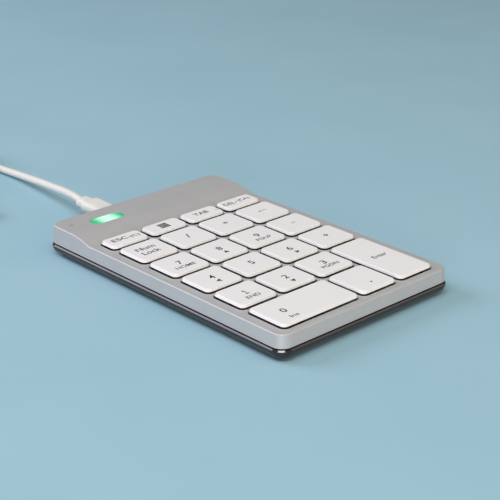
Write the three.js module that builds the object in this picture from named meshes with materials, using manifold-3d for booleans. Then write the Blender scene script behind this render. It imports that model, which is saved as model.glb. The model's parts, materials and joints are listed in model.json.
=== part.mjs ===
// Numeric keypad: a flat desktop keypad with 22 scissor keys and a detachable USB lead.
// Millimetres. +X right, +Y to the rear, +Z up. The origin is the centre of the case on the desk.
import * as THREE from "three";
import { mergeVertices } from "three/addons/utils/BufferGeometryUtils.js";
import Module from "manifold-3d";

const wasm = await Module();
wasm.setup();

// ---- Driving dimensions ----

// Key field
const KEY_PITCH = 18.85; // column to column
const KEY_WIDTH = 16.8;
const KEY_DEPTH = 14.95;
const FRONT_ROW_DEPTH = 17.5;
const FUNCTION_ROW_DEPTH = 8.6;
const ROW_GAP = 2.3; // between one cap and the cap behind it
const COLUMNS = 4;
const FIELD_SHIFT = -0.35; // the key field's middle, to the left of the case's
const CAP_RADIUS = 1.9;
const CAP_BEVEL = 0.5;
const CAP_ROOF = 0.8;
const CAP_WALL = 1.0;
const CAP_REACH = 1.5; // how far a cap's top stands above the plate
const CAP_LIFT = 0.33; // from the plate's top to a cap's lower rim
const KEY_TRAVEL = 1.4;
const HOLE_CLEARANCE = 0.45; // round each cap, in its hole

// Case
const CASE_WIDTH = 83.4;
const CASE_DEPTH = 127.2;
const CASE_RADIUS = 4.5;
const FRONT_MARGIN = 3.8; // from the case's front to the key field
const PLATE_TOP = 10; // the flat top that the keys stand in
const HUMP_TOP = 11.95; // the raised rear end
const RAMP_SETBACK = 1.8; // from the rear row of caps to the foot of the ramp
const RAMP_LENGTH = 10;
const RAMP_SHOULDER = 5.5; // from the ramp's foot to where its curve turns level
const EDGE_RADIUS = 0.5;
const SHELL_BOTTOM = 4.9;
const SHELL_WALL = 1.6;
const SHELL_ROOF = 1.4;

// Bottom tray
const TRAY_BOTTOM = 0.8;
const TRAY_TOP = 4.5;
const TRAY_OUTSET = 0.5; // past the top shell
const TRAY_EDGE = 3; // rounding of the lower edge
const TRAY_FLOOR_TOP = 2;
const LIP_TOP = 5.2; // the tray's lip stands inside the shell's wall and closes the groove between them
const LIP_WIDTH = 0.6;
const LEDGE_WIDTH = 2.4; // the step that the key plate rests on
const LEDGE_TOP = 2.9;

// Layers under the keys
const FIT = 0.3; // gap between pieces that touch
const PLATE_THICK = 0.5;
const MEMBRANE_THICK = 0.3;
const DOME_SHEET_THICK = 0.3;
const DOME_RADIUS = 3.4;
const SMALL_DOME_RADIUS = 1.3;
const DOME_TAPER = 0.6; // top radius over foot radius
const SCISSOR_BAR = 0.8;
const SCISSOR_DEPTH = 10;
const SCISSOR_WIDTH = 12;
const SCISSOR_MARGIN = 1.15; // least distance from a scissor to its cap's front and rear

// Rear end
const SOCKET_X = -11;
const SOCKET_Z = 7.5;
const SOCKET = { width: 9.6, height: 3.8, depth: 7.5, wall: 0.35, radius: 1.7, setback: 0.4 };
const WINDOW = { x: -21.65, y: 53.2, width: 15.4, height: 6.4, sink: 0.05 };
const INDICATOR = { x: -36.15, y: 56.4, width: 2.2, height: 0.6, gap: 0.1, sink: 0.2 };
const BOARD = { width: 46, depth: 12, thick: 0.8, x: -15.45, inset: 3 };

// Feet
const FOOT = { width: 58, depth: 6, thick: 1.1, inset: 9 };

// Lead
const CABLE_RADIUS = 1.5;
const CABLE_SIDES = 8;
const PLUG = { width: 9.4, height: 4.8, radius: 2.3, length: 14.6, edge: 0.6, gap: 0.6 };
const PLUG_TIP = { width: 8.3, height: 2.4, radius: 1.1, length: 7 };
const PLUG_COLLAR = { width: 6.4, height: 4, radius: 1.9, length: 5.2, edge: 0.5 };
const USB_A = { width: 15.4, height: 7.6, radius: 2, length: 24, edge: 0.6, lift: 0.1 };
const USB_A_TIP = { width: 12, height: 4.5, length: 12 };
const USB_A_RELIEF = { length: 8, nearRadius: 2.8, farRadius: 1.8 };
const COIL_X = -23.2;
const COIL_Y = 180.2;
const COIL_MIDDLE_RADIUS = 14.3;
const COIL_TURNS_ACROSS = 4;

const CORNER_STEPS = 2; // segments round a cap's corner
const CASE_STEPS = 6; // segments round the case's corner
const FOOT_STEPS = 4; // segments round a foot's end, in each quarter
const PLUG_STEPS = 3; // segments round a plug's or socket's corner
const SINK = 0.5; // how far one shape reaches into another that it is joined to
const CLEAR = 2; // how far a cutter reaches past what it cuts

// ---- Materials ----

function plastic(color, roughness) {
  return new THREE.MeshStandardMaterial({ color, roughness, metalness: 0 });
}

function metal(color, roughness) {
  return new THREE.MeshStandardMaterial({ color, roughness, metalness: 1 });
}

const MATERIALS = {
  capWhite: plastic(0xe5e5e7, 0.5),
  shellSilver: plastic(0xa7a7a9, 0.45),
  trayBlack: plastic(0x2b2929, 0.25),
  leadWhite: plastic(0xe8e6e0, 0.45),
  supportGrey: plastic(0x4a4a4c, 0.6),
  silicone: plastic(0x6a6c6b, 0.7),
  membraneFilm: plastic(0x3f4644, 0.3),
  boardGreen: plastic(0x1f5a3a, 0.5),
  windowGreen: plastic(0x9ff0cf, 0.2),
  indicatorDark: plastic(0x30363a, 0.3),
  footRubber: plastic(0x1d1d1e, 0.8),
  steel: metal(0xb4b7ba, 0.35),
};

// ---- Shapes and solids ----

// A rounded rectangle about (x, y).
function roundedRect(width, depth, radius, x = 0, y = 0) {
  const right = x + width / 2;
  const left = x - width / 2;
  const back = y + depth / 2;
  const front = y - depth / 2;
  const shape = new THREE.Shape();
  shape.moveTo(left + radius, front);
  shape.lineTo(right - radius, front);
  shape.absarc(right - radius, front + radius, radius, -Math.PI / 2, 0, false);
  shape.lineTo(right, back - radius);
  shape.absarc(right - radius, back - radius, radius, 0, Math.PI / 2, false);
  shape.lineTo(left + radius, back);
  shape.absarc(left + radius, back - radius, radius, Math.PI / 2, Math.PI, false);
  shape.lineTo(left, front + radius);
  shape.absarc(left + radius, front + radius, radius, Math.PI, 1.5 * Math.PI, false);
  return shape;
}

// A straight upright prism from low to high, with an optional bevel inside that height.
function prism(shape, low, high, steps, bevel = 0, bevelSteps = 1) {
  const geometry = new THREE.ExtrudeGeometry(shape, {
    depth: high - low - 2 * bevel,
    steps: 1,
    curveSegments: steps,
    bevelEnabled: bevel > 0,
    bevelThickness: bevel,
    bevelSize: bevel,
    bevelOffset: -bevel,
    bevelSegments: bevelSteps,
  });
  return geometry.translate(0, 0, low + bevel);
}

function box(width, depth, low, high, x = 0, y = 0) {
  return new THREE.BoxGeometry(width, depth, high - low).translate(x, y, (low + high) / 2);
}

// A three.js geometry as a manifold solid.
function solid(geometry) {
  const bare = geometry.clone();
  bare.deleteAttribute("normal");
  bare.deleteAttribute("uv");
  const merged = mergeVertices(bare, 1e-4);
  const vertProperties = merged.attributes.position.array;
  const triVerts = new Uint32Array(merged.index.array);
  return new wasm.Manifold(new wasm.Mesh({ numProp: 3, vertProperties, triVerts }));
}

function cut(body, ...geometries) {
  return geometries.reduce((left, geometry) => left.subtract(solid(geometry)), body);
}

function join(first, ...geometries) {
  return geometries.reduce((sum, geometry) => sum.add(solid(geometry)), solid(first));
}

const keypad = new THREE.Group();

// Adds one named piece: a manifold solid, or a plain geometry.
function addPiece(name, shape, material, parent = keypad) {
  let geometry = shape;
  if (!shape.isBufferGeometry) {
    const mesh = shape.getMesh();
    geometry = new THREE.BufferGeometry();
    geometry.setAttribute("position", new THREE.BufferAttribute(mesh.vertProperties, 3));
    geometry.setIndex(new THREE.BufferAttribute(mesh.triVerts, 1));
  }
  const piece = new THREE.Mesh(geometry, material);
  piece.name = name;
  parent.add(piece);
  return piece;
}

// ---- Key layout ----

const FIELD_WIDTH = (COLUMNS - 1) * KEY_PITCH + KEY_WIDTH;
const FIELD_LEFT = FIELD_SHIFT - FIELD_WIDTH / 2;
const FIELD_FRONT = -CASE_DEPTH / 2 + FRONT_MARGIN;

// Rows from the front: each row's depth, and its front edge from the field's front.
const ROW_DEPTHS = [FRONT_ROW_DEPTH, KEY_DEPTH, KEY_DEPTH, KEY_DEPTH, KEY_DEPTH, FUNCTION_ROW_DEPTH];
const ROW_FRONTS = ROW_DEPTHS.map((_, row) => {
  const before = ROW_DEPTHS.slice(0, row);
  return FIELD_FRONT + before.reduce((sum, depth) => sum + depth + ROW_GAP, 0);
});

// name, column, row, and how many columns and rows the cap covers
const KEYS = [
  ["0", 0, 0, 2, 1],
  ["dot", 2, 0, 1, 1],
  ["enter", 3, 0, 1, 2],
  ["1", 0, 1, 1, 1],
  ["2", 1, 1, 1, 1],
  ["3", 2, 1, 1, 1],
  ["4", 0, 2, 1, 1],
  ["5", 1, 2, 1, 1],
  ["6", 2, 2, 1, 1],
  ["plus", 3, 2, 1, 1],
  ["7", 0, 3, 1, 1],
  ["8", 1, 3, 1, 1],
  ["9", 2, 3, 1, 1],
  ["minus", 3, 3, 1, 1],
  ["num_lock", 0, 4, 1, 1],
  ["divide", 1, 4, 1, 1],
  ["multiply", 2, 4, 1, 1],
  ["backspace", 3, 4, 1, 1],
  ["escape", 0, 5, 1, 1],
  ["calculator", 1, 5, 1, 1],
  ["tab", 2, 5, 1, 1],
  ["delete", 3, 5, 1, 1],
].map(([name, column, row, columns, rows]) => {
  const width = (columns - 1) * KEY_PITCH + KEY_WIDTH;
  const lastRow = row + rows - 1;
  const front = ROW_FRONTS[row];
  const depth = ROW_FRONTS[lastRow] + ROW_DEPTHS[lastRow] - front;
  const x = FIELD_LEFT + column * KEY_PITCH + width / 2;
  return { name, x, y: front + depth / 2, width, depth };
});

// ---- Heights of the layers, from the tray upwards ----

const KEY_PLATE_LOW = LEDGE_TOP + FIT;
const MEMBRANE_LOW = KEY_PLATE_LOW + PLATE_THICK + FIT;
const DOME_SHEET_LOW = MEMBRANE_LOW + MEMBRANE_THICK + FIT;
const DOME_SHEET_TOP = DOME_SHEET_LOW + DOME_SHEET_THICK;
const CAP_LOW = PLATE_TOP + CAP_LIFT;
const CAP_TOP = PLATE_TOP + CAP_REACH;
const CAP_CEILING = CAP_TOP - CAP_ROOF;
const DOME_TOP = CAP_CEILING - KEY_TRAVEL - FIT; // just clear of a cap that is fully down
const SCISSOR_LOW = DOME_SHEET_TOP + FIT;
const SCISSOR_HIGH = CAP_CEILING - FIT;

// ---- Key caps and their scissor supports ----

function capSolid(key) {
  const outer = roundedRect(key.width, key.depth, CAP_RADIUS, key.x, key.y);
  const innerWidth = key.width - 2 * CAP_WALL;
  const innerDepth = key.depth - 2 * CAP_WALL;
  const block = solid(prism(outer, CAP_LOW, CAP_TOP, CORNER_STEPS, CAP_BEVEL));
  return cut(block, box(innerWidth, innerDepth, CAP_LOW - CLEAR, CAP_CEILING, key.x, key.y));
}

// One rectangular ring of a scissor, tilted about X so that it climbs to the rear or to the front.
function scissorRing(width, depth, direction) {
  const ring = new THREE.Shape();
  ring.setFromPoints([
    new THREE.Vector2(-width / 2, -depth / 2),
    new THREE.Vector2(width / 2, -depth / 2),
    new THREE.Vector2(width / 2, depth / 2),
    new THREE.Vector2(-width / 2, depth / 2),
  ]);
  const insideWidth = width - 2 * SCISSOR_BAR;
  const insideDepth = depth - 2 * SCISSOR_BAR;
  const opening = new THREE.Path();
  opening.setFromPoints([
    new THREE.Vector2(-insideWidth / 2, -insideDepth / 2),
    new THREE.Vector2(-insideWidth / 2, insideDepth / 2),
    new THREE.Vector2(insideWidth / 2, insideDepth / 2),
    new THREE.Vector2(insideWidth / 2, -insideDepth / 2),
  ]);
  ring.holes.push(opening);
  // a little under the full rise, so that the ring's tilted corners keep within its height
  const rise = SCISSOR_HIGH - SCISSOR_LOW - 1.35 * SCISSOR_BAR;
  const tilt = Math.asin(rise / depth);
  return prism(ring, -SCISSOR_BAR / 2, SCISSOR_BAR / 2, 1).rotateX(direction * tilt);
}

// The outer and the inner ring cross at mid height and share a pivot pin on each side.
function scissorSolid(key) {
  const depth = Math.min(SCISSOR_DEPTH, key.depth - 2 * SCISSOR_MARGIN);
  const innerWidth = SCISSOR_WIDTH - 2 * SCISSOR_BAR - FIT;
  const outer = scissorRing(SCISSOR_WIDTH, depth, 1);
  const inner = scissorRing(innerWidth, depth, -1);
  const pinLength = 2 * SCISSOR_BAR + FIT / 2;
  const pinX = SCISSOR_WIDTH / 2 - pinLength / 2;
  const pin = (side) => box(pinLength, SCISSOR_BAR / 2, -SCISSOR_BAR / 4, SCISSOR_BAR / 4, side * pinX);
  return join(outer, inner, pin(-1), pin(1));
}

for (const key of KEYS) {
  addPiece("cap_" + key.name, capSolid(key), MATERIALS.capWhite);
  const scissor = addPiece("scissor_" + key.name, scissorSolid(key), MATERIALS.supportGrey);
  scissor.position.set(key.x, key.y, (SCISSOR_LOW + SCISSOR_HIGH) / 2);
}

// ---- Top shell ----

const RAMP_FOOT = ROW_FRONTS.at(-1) + FUNCTION_ROW_DEPTH + RAMP_SETBACK;

// Side profile of the shell's outside or inside: flat key plate, ramp, raised rear end.
function sideProfile(low, drop, inset, radius) {
  const front = -CASE_DEPTH / 2 + inset;
  const rear = CASE_DEPTH / 2 - inset;
  const plate = PLATE_TOP - drop;
  const hump = HUMP_TOP - drop;
  const shape = new THREE.Shape();
  shape.moveTo(front, low);
  shape.lineTo(front, plate - radius);
  shape.quadraticCurveTo(front, plate, front + radius, plate);
  shape.lineTo(RAMP_FOOT, plate);
  shape.quadraticCurveTo(RAMP_FOOT + RAMP_SHOULDER, hump, RAMP_FOOT + RAMP_LENGTH, hump);
  shape.lineTo(rear - radius, hump);
  shape.quadraticCurveTo(rear, hump, rear, hump - radius);
  shape.lineTo(rear, low);
  return shape;
}

// The side profile swept from left to right, its long edges rounded by the bevel.
function sweptProfile(low, drop, inset, radius) {
  const width = CASE_WIDTH - 2 * inset;
  const bevel = radius * 0.7; // less than the profile's own rounding, so the bevel's end keeps its shape
  const geometry = new THREE.ExtrudeGeometry(sideProfile(low, drop, inset, radius), {
    depth: width - 2 * bevel,
    curveSegments: 4,
    bevelEnabled: true,
    bevelThickness: bevel,
    bevelSize: bevel,
    bevelOffset: -bevel,
    bevelSegments: 2,
  });
  geometry.translate(0, 0, bevel - width / 2);
  // the profile's (depth, height, width) axes become (Y, Z, X)
  const turn = new THREE.Matrix4();
  turn.makeBasis(
    new THREE.Vector3(0, 1, 0),
    new THREE.Vector3(0, 0, 1),
    new THREE.Vector3(1, 0, 0),
  );
  return geometry.applyMatrix4(turn);
}

// The case's plan, drawn in by inset.
function caseOutline(inset, radius = CASE_RADIUS - inset) {
  return roundedRect(CASE_WIDTH - 2 * inset, CASE_DEPTH - 2 * inset, radius);
}

function shellSolid() {
  const outside = solid(sweptProfile(0, 0, 0, EDGE_RADIUS));
  const plan = solid(prism(caseOutline(0), SHELL_BOTTOM, HUMP_TOP + CLEAR, CASE_STEPS));
  const inside = solid(sweptProfile(0, SHELL_ROOF, SHELL_WALL, EDGE_RADIUS));
  const insidePlan = solid(prism(caseOutline(SHELL_WALL), 0, HUMP_TOP + CLEAR, CASE_STEPS));
  let shell = outside.intersect(plan).subtract(inside.intersect(insidePlan));
  for (const key of KEYS) {
    const width = key.width + 2 * HOLE_CLEARANCE;
    const depth = key.depth + 2 * HOLE_CLEARANCE;
    const hole = roundedRect(width, depth, CAP_RADIUS + HOLE_CLEARANCE, key.x, key.y);
    shell = cut(shell, prism(hole, SHELL_BOTTOM, HUMP_TOP + CLEAR, CORNER_STEPS));
  }
  const roofLow = HUMP_TOP - SHELL_ROOF - CLEAR;
  const roofHigh = HUMP_TOP + CLEAR;
  const lamp = roundedRect(WINDOW.width, WINDOW.height, WINDOW.height / 2, WINDOW.x, WINDOW.y);
  const slot = box(INDICATOR.width, INDICATOR.height, roofLow, roofHigh, INDICATOR.x, INDICATOR.y);
  const portLow = SOCKET_Z - SOCKET.height / 2 - FIT;
  const portHigh = SOCKET_Z + SOCKET.height / 2 + FIT;
  const portDepth = 2 * (SHELL_WALL + CLEAR);
  const port = box(SOCKET.width + 2 * FIT, portDepth, portLow, portHigh, SOCKET_X, CASE_DEPTH / 2);
  return cut(shell, prism(lamp, roofLow, roofHigh, CASE_STEPS), slot, port);
}

addPiece("top_shell", shellSolid(), MATERIALS.shellSilver);

// ---- Bottom tray and feet ----

// Plan of the foot at the front (side -1) or the rear (side 1), grown all round.
function footOutline(side, grow = 0) {
  const depth = FOOT.depth + 2 * grow;
  const y = side * (CASE_DEPTH / 2 - FOOT.inset);
  return roundedRect(FOOT.width + 2 * grow, depth, depth / 2, 0, y);
}

const LIP_INSET = SHELL_WALL + FIT;
const TRAY_WALL = LIP_INSET + LIP_WIDTH;

function traySolid() {
  const outline = roundedRect(
    CASE_WIDTH + 2 * TRAY_OUTSET,
    CASE_DEPTH + 2 * TRAY_OUTSET,
    CASE_RADIUS + TRAY_OUTSET,
  );
  const high = TRAY_TOP + TRAY_EDGE; // so that the upper bevel is cut off whole
  const block = solid(prism(outline, TRAY_BOTTOM, high, CASE_STEPS, TRAY_EDGE, 3));
  const above = box(CASE_WIDTH * 2, CASE_DEPTH * 2, TRAY_TOP, high + CLEAR);
  const lip = solid(prism(caseOutline(LIP_INSET), TRAY_TOP - SINK, LIP_TOP, CASE_STEPS));
  const upper = prism(caseOutline(TRAY_WALL), LEDGE_TOP, LIP_TOP + CLEAR, CASE_STEPS);
  const lower = prism(caseOutline(TRAY_WALL + LEDGE_WIDTH, 1), TRAY_FLOOR_TOP, LIP_TOP + CLEAR, CORNER_STEPS);
  const pocket = (side) => prism(footOutline(side, FIT), -CLEAR, FOOT.thick + FIT, FOOT_STEPS);
  return cut(cut(block, above).add(lip), upper, lower, pocket(-1), pocket(1));
}

addPiece("bottom_tray", traySolid(), MATERIALS.trayBlack);
addPiece("foot_strip_front", prism(footOutline(-1), 0, FOOT.thick, FOOT_STEPS), MATERIALS.footRubber);
addPiece("foot_strip_rear", prism(footOutline(1), 0, FOOT.thick, FOOT_STEPS), MATERIALS.footRubber);

// ---- Layers under the keys ----

// A sheet inside the tray's lip, from its front to just behind the key field.
function layer(low, thick) {
  const width = CASE_WIDTH - 2 * (TRAY_WALL + FIT);
  const front = -CASE_DEPTH / 2 + TRAY_WALL + FIT;
  const depth = RAMP_FOOT - front;
  const radius = CASE_RADIUS - TRAY_WALL - FIT;
  return prism(roundedRect(width, depth, radius, 0, front + depth / 2), low, low + thick, CORNER_STEPS);
}

// A silicone dome, drawn at the height it has when its key is down.
function domeGeometry(key) {
  const radius = key.depth < KEY_DEPTH ? SMALL_DOME_RADIUS : DOME_RADIUS;
  const base = DOME_SHEET_TOP - DOME_SHEET_THICK / 2;
  const profile = [
    new THREE.Vector2(0, base),
    new THREE.Vector2(radius, base),
    new THREE.Vector2(radius * DOME_TAPER, DOME_TOP),
    new THREE.Vector2(0, DOME_TOP),
  ];
  return new THREE.LatheGeometry(profile, 8).rotateX(Math.PI / 2).translate(key.x, key.y, 0);
}

addPiece("key_plate", layer(KEY_PLATE_LOW, PLATE_THICK), MATERIALS.steel);
addPiece("membrane_sheet", layer(MEMBRANE_LOW, MEMBRANE_THICK), MATERIALS.membraneFilm);
addPiece(
  "dome_sheet",
  join(layer(DOME_SHEET_LOW, DOME_SHEET_THICK), ...KEYS.map(domeGeometry)),
  MATERIALS.silicone,
);

// ---- Controller board, USB socket, lit window, indicator ----

const BOARD_TOP = SOCKET_Z - SOCKET.height / 2 - FIT;
const BOARD_Y = CASE_DEPTH / 2 - BOARD.inset - BOARD.depth / 2;

addPiece(
  "controller_board",
  box(BOARD.width, BOARD.depth, BOARD_TOP - BOARD.thick, BOARD_TOP, BOARD.x, BOARD_Y),
  MATERIALS.boardGreen,
);

// The socket's metal shell, drawn upright with its mouth at z = 0.
function socketSolid() {
  const outline = roundedRect(SOCKET.width, SOCKET.height, SOCKET.radius);
  const bore = roundedRect(
    SOCKET.width - 2 * SOCKET.wall,
    SOCKET.height - 2 * SOCKET.wall,
    SOCKET.radius - SOCKET.wall,
  );
  const block = solid(prism(outline, -SOCKET.depth, 0, PLUG_STEPS));
  return cut(block, prism(bore, SOCKET.wall - SOCKET.depth, CLEAR, PLUG_STEPS));
}

// A piece drawn upright, laid down so that its +Z end points along +Y.
function layToRear(piece, x, y, z) {
  piece.rotation.x = -Math.PI / 2;
  piece.position.set(x, y, z);
}

const socket = addPiece("usb_socket", socketSolid(), MATERIALS.steel);
layToRear(socket, SOCKET_X, CASE_DEPTH / 2 - SOCKET.setback, SOCKET_Z);

const ROOF_LOW = HUMP_TOP - SHELL_ROOF;

function windowGeometry() {
  const width = WINDOW.width - 2 * FIT;
  const height = WINDOW.height - 2 * FIT;
  const lens = roundedRect(width, height, height / 2, WINDOW.x, WINDOW.y);
  return prism(lens, ROOF_LOW, HUMP_TOP - WINDOW.sink, CASE_STEPS);
}

function indicatorGeometry() {
  const width = INDICATOR.width - 2 * INDICATOR.gap;
  const height = INDICATOR.height - 2 * INDICATOR.gap;
  return box(width, height, ROOF_LOW, HUMP_TOP - INDICATOR.sink, INDICATOR.x, INDICATOR.y);
}

addPiece("light_window", windowGeometry(), MATERIALS.windowGreen);
addPiece("indicator_lens", indicatorGeometry(), MATERIALS.indicatorDark);

// ---- Lead: plug in the socket, cable to the rear, coil, far-end plug ----

const PLUG_FRONT = CASE_DEPTH / 2 + PLUG.gap;
const CABLE_START = PLUG_FRONT + PLUG.length + PLUG_COLLAR.length + FIT;

// Both plugs are drawn upright: the metal tip below z = 0, the grip and its collar above.
function plugSolid() {
  const grip = roundedRect(PLUG.width, PLUG.height, PLUG.radius);
  const tip = roundedRect(PLUG_TIP.width, PLUG_TIP.height, PLUG_TIP.radius);
  const collar = roundedRect(PLUG_COLLAR.width, PLUG_COLLAR.height, PLUG_COLLAR.radius);
  const end = PLUG.length + PLUG_COLLAR.length;
  return join(
    prism(grip, 0, PLUG.length, PLUG_STEPS, PLUG.edge),
    prism(tip, -PLUG_TIP.length, SINK, PLUG_STEPS),
    prism(collar, PLUG.length - 2 * PLUG_COLLAR.edge, end, PLUG_STEPS, PLUG_COLLAR.edge),
  );
}

layToRear(addPiece("usb_c_plug", plugSolid(), MATERIALS.leadWhite), SOCKET_X, PLUG_FRONT, SOCKET_Z);

// Points that the cable follows from the plug to the coil, chosen by hand: it sags to the desk.
const CABLE_ROUTE = [
  [SOCKET_X, CABLE_START, SOCKET_Z],
  [-10.5, 88, 7.62],
  [-9.75, 93, 7.55],
  [-8.85, 99, 7.1],
  [-7.95, 108, 6.25],
  [-6.75, 118, 5.2],
  [-5.65, 129, 4.0],
  [-4.85, 140, 2.9],
  [-4.6, 150, 2.1],
  [-4.45, 158, 1.72],
  [-4.4, 166, 1.55],
  [-4.4, 169.5, 1.52],
];

// From the top turn of the coil down to the far-end plug.
const TAIL_ROUTE = [
  [-42, 169, 10.5],
  [-42, 166, 9.4],
  [-42, 162.5, 7.0],
  [-42, 159, 4.8],
  [-42, 155.5, 3.95],
];

function tube(points, steps) {
  const curve = new THREE.CatmullRomCurve3(
    points.map(([x, y, z]) => new THREE.Vector3(x, y, z)),
    false,
    "centripetal",
  );
  const section = new THREE.Shape();
  const corners = [];
  for (let side = 0; side < CABLE_SIDES; side += 1) {
    const angle = ((side + 0.5) / CABLE_SIDES) * 2 * Math.PI;
    corners.push(new THREE.Vector2(CABLE_RADIUS * Math.cos(angle), CABLE_RADIUS * Math.sin(angle)));
  }
  section.setFromPoints(corners);
  return new THREE.ExtrudeGeometry(section, { steps, bevelEnabled: false, extrudePath: curve });
}

// The coil's bundle of turns as one ring: a square section with its corners cut off, on the desk.
function coilRing() {
  const half = COIL_TURNS_ACROSS * CABLE_RADIUS;
  const near = half - CABLE_RADIUS;
  const around = [
    [-near, -half],
    [near, -half],
    [half, -near],
    [half, near],
    [near, half],
    [-near, half],
    [-half, near],
    [-half, -near],
    [-near, -half],
  ];
  const profile = around.map(([across, up]) => new THREE.Vector2(COIL_MIDDLE_RADIUS + across, half + up));
  return new THREE.LatheGeometry(profile, 24).rotateX(Math.PI / 2);
}

addPiece("cable", tube(CABLE_ROUTE, 34), MATERIALS.leadWhite);
addPiece("cable_tail", tube(TAIL_ROUTE, 8), MATERIALS.leadWhite);
addPiece("cable_coil", coilRing(), MATERIALS.leadWhite).position.set(COIL_X, COIL_Y, 0);

// A cone that tapers upwards from low, and reaches down into the grip below it.
function reliefGeometry(relief, low) {
  const length = relief.length + SINK;
  const cone = new THREE.CylinderGeometry(relief.farRadius, relief.nearRadius, length, 10);
  return cone.rotateX(Math.PI / 2).translate(0, 0, low - SINK + length / 2);
}

function farPlugSolid() {
  const grip = roundedRect(USB_A.width, USB_A.height, USB_A.radius);
  return join(
    prism(grip, 0, USB_A.length, CORNER_STEPS, USB_A.edge),
    box(USB_A_TIP.width, USB_A_TIP.height, -USB_A_TIP.length, SINK),
    reliefGeometry(USB_A_RELIEF, USB_A.length),
  );
}

const [TAIL_X, TAIL_END] = TAIL_ROUTE.at(-1);
const FAR_PLUG_FRONT = TAIL_END - FIT - USB_A_RELIEF.length - USB_A.length;
const farPlug = addPiece("usb_a_plug", farPlugSolid(), MATERIALS.leadWhite);
layToRear(farPlug, TAIL_X, FAR_PLUG_FRONT, USB_A.height / 2 + USB_A.lift);

export default keypad;
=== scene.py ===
"""The looks of a numeric keypad with 22 scissor keys and a USB lead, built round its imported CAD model.

Meshes are drawn in millimetres, in the part's own frame (origin under the middle of the case, +Y to the rear,
+Z up), and scaled to metres as each becomes a piece.
"""

import json
import math

import bmesh
import bpy
from mathutils import Matrix, Vector
from mathutils.geometry import delaunay_2d_cdt

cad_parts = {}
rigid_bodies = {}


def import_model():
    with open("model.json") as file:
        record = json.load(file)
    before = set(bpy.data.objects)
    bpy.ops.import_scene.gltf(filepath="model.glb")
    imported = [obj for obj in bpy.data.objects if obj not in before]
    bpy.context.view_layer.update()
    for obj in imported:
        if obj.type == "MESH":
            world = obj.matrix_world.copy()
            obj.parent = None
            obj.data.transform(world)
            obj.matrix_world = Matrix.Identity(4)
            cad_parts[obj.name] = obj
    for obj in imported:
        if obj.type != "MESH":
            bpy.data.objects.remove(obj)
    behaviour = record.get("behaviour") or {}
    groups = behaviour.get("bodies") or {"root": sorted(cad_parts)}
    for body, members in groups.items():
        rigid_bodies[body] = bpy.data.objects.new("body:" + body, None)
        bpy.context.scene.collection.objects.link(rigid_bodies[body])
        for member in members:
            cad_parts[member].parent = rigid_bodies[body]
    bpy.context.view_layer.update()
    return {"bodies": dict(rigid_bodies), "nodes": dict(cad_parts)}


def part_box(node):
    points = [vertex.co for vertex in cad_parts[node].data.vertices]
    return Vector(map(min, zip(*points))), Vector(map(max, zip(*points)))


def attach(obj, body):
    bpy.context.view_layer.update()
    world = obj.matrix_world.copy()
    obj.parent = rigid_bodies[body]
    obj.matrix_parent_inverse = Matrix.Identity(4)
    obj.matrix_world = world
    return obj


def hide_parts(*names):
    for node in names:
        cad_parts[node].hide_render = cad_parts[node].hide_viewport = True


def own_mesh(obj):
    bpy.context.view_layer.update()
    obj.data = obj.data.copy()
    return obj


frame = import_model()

MM = 0.001  # metres in a millimetre
CASE = "case"  # the body that everything but the keys rides on

# ---- Camera, in metres ----

CAMERA_PLACE = (-0.32238, -0.35111, 0.20944)
CAMERA_TARGET = (0.0, -0.00389, 0.010)
CAMERA_LENS = 101.3  # mm, on a sensor 36 mm wide


def add_camera():
    data = bpy.data.cameras.new("camera")
    data.sensor_width = 36
    data.lens = CAMERA_LENS
    camera = bpy.data.objects.new("camera", data)
    camera.location = CAMERA_PLACE
    camera.rotation_mode = "QUATERNION"
    towards = Vector(CAMERA_TARGET) - Vector(CAMERA_PLACE)
    camera.rotation_quaternion = towards.to_track_quat("-Z", "Y")
    bpy.context.scene.collection.objects.link(camera)
    bpy.context.scene.camera = camera


add_camera()

# ---- Materials ----


class Nodes:
    """A new node material: adds nodes by type, and links them by socket."""

    def __init__(self, name):
        self.material = bpy.data.materials.new(name)
        self.material.use_nodes = True
        self.tree = self.material.node_tree
        self.shader = self.tree.nodes["Principled BSDF"]
        self.place = self.add("ShaderNodeTexCoord").outputs["Object"]

    def add(self, kind, **inputs):
        node = self.tree.nodes.new(kind)
        for socket, value in inputs.items():
            node.inputs[socket.replace("_", " ")].default_value = value
        return node

    def link(self, output, node, socket):
        self.tree.links.new(output, node.inputs[socket])

    def noise(self, size_mm, detail=2.0, roughness=0.5):
        """Noise with features about size_mm across."""
        node = self.add("ShaderNodeTexNoise", Scale=1 / (size_mm * MM), Detail=detail, Roughness=roughness)
        self.link(self.place, node, "Vector")
        return node.outputs["Fac"]

    def between(self, factor, low, high):
        """A number that goes from low to high as the noise goes through its usual range."""
        node = self.add("ShaderNodeMapRange", From_Min=0.3, From_Max=0.7, To_Min=low, To_Max=high)
        self.link(factor, node, "Value")
        return node.outputs["Result"]

    def colours(self, factor, *stops):
        """A colour ramp: stops are (position, colour)."""
        node = self.tree.nodes.new("ShaderNodeValToRGB")
        ramp = node.color_ramp
        while len(ramp.elements) < len(stops):
            ramp.elements.new(0.5)
        for element, (position, colour) in zip(ramp.elements, stops):
            element.position = position
            element.color = (*colour, 1)
        self.link(factor, node, "Fac")
        return node.outputs["Color"]

    def bump(self, height, depth_mm):
        node = self.add("ShaderNodeBump", Strength=1.0, Distance=depth_mm * MM)
        self.link(height, node, "Height")
        self.link(node.outputs["Normal"], self.shader, "Normal")


def shade(colour, by):
    return tuple(min(1.0, c * by) for c in colour)


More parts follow.
